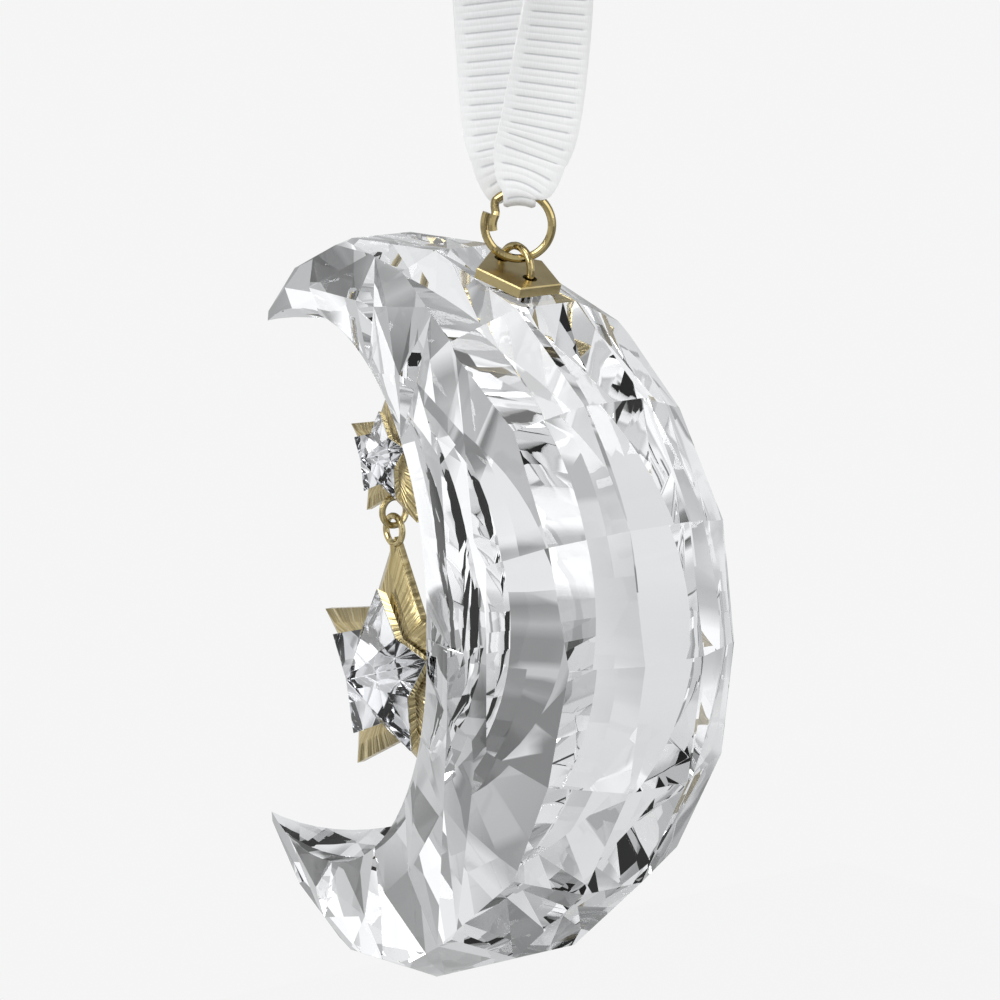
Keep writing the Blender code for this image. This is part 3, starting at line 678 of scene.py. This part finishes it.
def makeRibbon(r):
    route, even, length = ribbonRoute(r)
    count = len(route)
    place = np.array(ringTop) + route[:, :1] * np.array(ringAcross) + route[:, 1:2] * np.array(ringFront)
    place[:, 2] += route[:, 2]
    ahead = np.roll(place, -1, 0) - np.roll(place, 1, 0)
    ahead /= np.linalg.norm(ahead, axis=1)[:, None]
    spin = np.radians(route[:, 4])
    wide = np.stack([ringAcross.x * np.cos(spin) - ringAcross.y * np.sin(spin),
                     ringAcross.x * np.sin(spin) + ringAcross.y * np.cos(spin), 0 * spin], 1)
    wide -= ahead * (wide * ahead).sum(1)[:, None]
    wide /= np.linalg.norm(wide, axis=1)[:, None]
    thick = np.cross(wide, ahead)
    droop = np.clip(1 - np.clip(route[:, 2], 0, None) / r["droopHeight"], 0, None)
    steps = np.linspace(-1, 1, r["columns"] + 1)
    section = [(x, 1) for x in steps[::-1]] + [(x, -1) for x in steps]
    verts, across = [], []
    for x, side in section:
        past = max(0, abs(x) - r["thinFrom"]) / (1 - r["thinFrom"])
        soft = math.sqrt(max(0, 1 - past ** 2 * r["thinShare"]))
        offset = x * route[:, 3] * r["width"] / 2
        point = place + wide * offset[:, None] + thick * (side * soft * r["thickness"] / 2)
        point[:, 2] -= droop * (route[:, 0] + offset) ** 2 / (2 * r["ringRadius"])
        verts.append(point)
        across.append(np.full(count, x))
    ring = len(section)
    verts = np.stack(verts, 1).reshape(-1, 3)
    row, column = np.meshgrid(np.arange(count), np.arange(ring), indexing="ij")
    nextRow, nextColumn = (row + 1) % count, (column + 1) % ring
    faces = np.stack([row * ring + column, row * ring + nextColumn,
                      nextRow * ring + nextColumn, nextRow * ring + column], -1).reshape(-1, 4)
    mesh = bpy.data.meshes.new("ribbonBand")
    mesh.from_pydata(verts.tolist(), [], faces.tolist())
    for name, values in (("along", np.repeat(even, ring)), ("across", np.stack(across, 1).ravel())):
        mesh.attributes.new(name, "FLOAT", "POINT").data.foreach_set("value", values.astype(np.float32))
    bm = bmesh.new()
    bm.from_mesh(mesh)
    bmesh.ops.recalc_face_normals(bm, faces=bm.faces)
    bm.to_mesh(mesh)
    bm.free()
    made = linkMesh("ribbonBand", mesh)
    tree = ribGroup(r)
    cords = made.modifiers.new("cords", "NODES")
    cords.node_group = tree
    values = {"Pitch": r["ribPitch"], "Height": r["ribHeight"], "Selvedge": r["selvedge"],
              "Material": grosgrainMaterial(clothLook)}
    for item in tree.interface.items_tree:
        if item.in_out == "INPUT" and item.name in values:
            cords[item.identifier] = values[item.name]
    finishMesh(made, smoothAngle=60)
    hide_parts("ribbon")
    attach(made, "ribbon")
    print(f"ribbon made, {1000 * length:.1f} mm round")


makeRibbon(ribbonSizes)


# Stars: gilt frames with fanned cuts, foil-backed stones

starSizes = {
    "centreX": -18.877 * mm, "smallHeight": -70.811 * mm, "largeHeight": -91.81 * mm,
    "cuts": 74.0, "cutBump": 0.9, "cutDepth": 0.12 * mm, "toneRange": (0.36, 0.62),
    "cutWave": 0.28, "cutNoise": 1.3, "noisePerCut": 0.45, "noisePerReach": 90.0,
    "plainRange": (4.5 * mm, 6.5 * mm), "plainShare": 0.25,  # the long top arm is nearly plain
    "cloudScale": 500.0, "cloudAmount": 0.12, "rim": 0.14 * mm, "rimFrom": 25, "smallScale": 0.6,
}


def fanGroup(s):
    group, source, sink = newGroup(
        "fannedCuts", [("Height", "NodeSocketFloat", 0.0), ("Cuts", "NodeSocketFloat", 60.0)],
        [("Cut", "NodeSocketFloat"), ("Tone", "NodeSocketFloat")])
    place = addNode(group, "ShaderNodeTexCoord")
    split = addNode(group, "ShaderNodeSeparateXYZ")
    wire(group, (place.outputs["Object"], split.inputs[0]))
    side = mathNode(group, "SUBTRACT", split.outputs[0], s["centreX"])
    rise = mathNode(group, "SUBTRACT", split.outputs[2], source.outputs["Height"])
    turn = mathNode(group, "ARCTAN2", side, rise)
    fan = mathNode(group, "MULTIPLY", turn, source.outputs["Cuts"])
    reach = mathNode(group, "MULTIPLY", mathNode(group, "ABSOLUTE", side), s["noisePerReach"])
    noise = addNode(group, "ShaderNodeTexNoise", noise_dimensions="2D")
    noise.inputs["Scale"].default_value = 1.0
    noise.inputs["Detail"].default_value = 2
    join = addNode(group, "ShaderNodeCombineXYZ")
    wire(group, (mathNode(group, "MULTIPLY", fan, s["noisePerCut"]), join.inputs[0]),
         (reach, join.inputs[1]), (join.outputs[0], noise.inputs["Vector"]))
    wave = mathNode(group, "MULTIPLY", mathNode(group, "SINE", fan), s["cutWave"])
    wave = mathNode(group, "ADD", wave, mathNode(group, "MULTIPLY", noise.outputs["Fac"], s["cutNoise"]))
    plain = rangeNode(group, rise, *s["plainRange"], 1.0, s["plainShare"])
    wire(group, (mathNode(group, "MULTIPLY", wave, plain), sink.inputs["Cut"]),
         (noise.outputs["Fac"], sink.inputs["Tone"]))
    return group


fannedCuts = fanGroup(starSizes)


def starGiltMaterial(name, height, s, look):
    made, tree, shader = newMaterial(name)
    marks = placeGroup(tree, handling, Scale=s["cloudScale"], Amount=s["cloudAmount"],
                       Roughness=look["roughness"])
    fan = placeGroup(tree, fannedCuts, Height=height, Cuts=s["cuts"])
    normal = bumpNode(tree, fan.outputs["Cut"], s["cutBump"], s["cutDepth"])
    tone = rangeNode(tree, fan.outputs["Tone"], *s["toneRange"])
    colour = mixColour(tree, tone, look["deep"], look["light"])
    wire(tree, (colour, shader.inputs["Base Color"]), (normal, shader.inputs["Normal"]),
         (marks.outputs["Roughness"], shader.inputs["Roughness"]))
    shader.inputs["Metallic"].default_value = 1
    return made


mirrorLook = {"deep": (0.93, 0.93, 0.94), "light": (0.98, 0.98, 0.985), "roughness": 0.06,
              "cloudScale": 900.0, "cloudAmount": 0.05}
# painted shade: the foil round the girdle is greyer than the foil behind, so the stones' edges read
# darker
girdlePaintedShadeLook = dict(mirrorLook, deep=(0.74, 0.75, 0.78), light=(0.90, 0.91, 0.93))


def foilMaterial(name, look):
    made, tree, shader = newMaterial(name)
    marks = placeGroup(tree, handling, Scale=look["cloudScale"], Amount=look["cloudAmount"],
                       Roughness=look["roughness"])
    colour = mixColour(tree, marks.outputs["Cloud"], look["deep"], look["light"])
    wire(tree, (marks.outputs["Roughness"], shader.inputs["Roughness"]),
         (colour, shader.inputs["Base Color"]))
    shader.inputs["Metallic"].default_value = 1
    return made


stoneLook = dict(crystalLook, ior=1.6, wave=0.0, tint=(0.97, 0.98, 1.0), cloudTint=(0.95, 0.96, 0.98))
stoneSizes = {
    "relief": 0.9 * mm, "edge": 0.05 * mm, "edgeFrom": 8,
    "girdleFrom": -0.12,  # faces whose normal's Y is above this belong to the girdle or the back
}


def makeStone(node, body, surfaces, s, scale):
    made = copyOfNode(node, node.replace("_", "") + "Cut")
    bm = bmesh.new()
    bm.from_mesh(made.data)
    apex = min(bm.verts, key=lambda v: v.co.y)
    shoulder = sorted({v for f in apex.link_faces for v in f.verts}, key=lambda v: v.index)
    # the ridges run from the apex to the tips
    bmesh.ops.pointmerge(bm, verts=shoulder, merge_co=apex.co.copy())
    bm.normal_update()
    back = max(bm.faces, key=lambda f: f.normal.y * f.calc_area())
    for face in bm.faces:  # glass in front, bright foil behind, greyer foil round the girdle as painted shade along the stone's edges
        face.material_index = 2 if face.normal.y > s["girdleFrom"] else 0
    relief = bmesh.ops.poke(bm, faces=[back], offset=-s["relief"] * scale)
    for face in relief["faces"]:
        face.material_index = 1
    bm.to_mesh(made.data)
    bm.free()
    for surface in surfaces:
        made.data.materials.append(surface)
    addBevel(made, s["edge"] * scale, s["edgeFrom"])
    finishMesh(made, smoothAngle=5)
    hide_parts(node)
    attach(made, body)


def makeFrame(node, body, surface, s, scale):
    made = copyOfNode(node, node.replace("_", "") + "Gilt")
    addBevel(made, s["rim"] * scale, s["rimFrom"], segments=2)
    finishMesh(made, smoothAngle=30)
    made.data.materials.clear()
    made.data.materials.append(surface)
    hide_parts(node)
    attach(made, body)


stoneSurfaces = [glassMaterial("stoneGlass", stoneLook), foilMaterial("mirrorFoil", mirrorLook),
                 foilMaterial("girdleFoilPaintedShade", girdlePaintedShadeLook)]
smallGilt = starGiltMaterial("smallStarGilt", starSizes["smallHeight"], starSizes, giltLook)
largeGilt = starGiltMaterial("largeStarGilt", starSizes["largeHeight"], starSizes, giltLook)
makeStone("small_star_stone", "moon", stoneSurfaces, stoneSizes, starSizes["smallScale"])
makeStone("large_star_stone", "large_star", stoneSurfaces, stoneSizes, 1.0)
makeFrame("small_star_frame", "moon", smallGilt, starSizes, starSizes["smallScale"])
makeFrame("large_star_frame", "large_star", largeGilt, starSizes, 1.0)
print("stars made")


# Cap, ring and staple: the cap plate and the split ring are the solids themselves, dressed

def dressNode(node, surface):
    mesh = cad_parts[node].data
    mesh.materials.clear()
    mesh.materials.append(surface)


stapleSizes = {"slack": 0.03 * mm, "smoothAngle": 40}  # the wire is thinned to swing clear of the ring


def makeStaple(s, surface):
    made = copyOfNode("eye_staple", "stapleWire")
    bm = bmesh.new()
    bm.from_mesh(made.data)
    for vert in bm.verts:
        vert.co -= vert.normal * s["slack"]
    bm.to_mesh(made.data)
    bm.free()
    made.data.shade_smooth()
    made.data.set_sharp_from_angle(angle=math.radians(s["smoothAngle"]))
    made.data.materials.append(surface)
    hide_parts("eye_staple")
    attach(made, "moon")


satinGilt = giltMaterial("satinGilt", giltLook, polish=-0.12)
polishedGilt = giltMaterial("polishedGilt", ringLook, polish=0.1)
dressNode("cap_plate", satinGilt)
dressNode("jump_ring", polishedGilt)
makeStaple(stapleSizes, polishedGilt)
print("cap, ring and staple dressed")
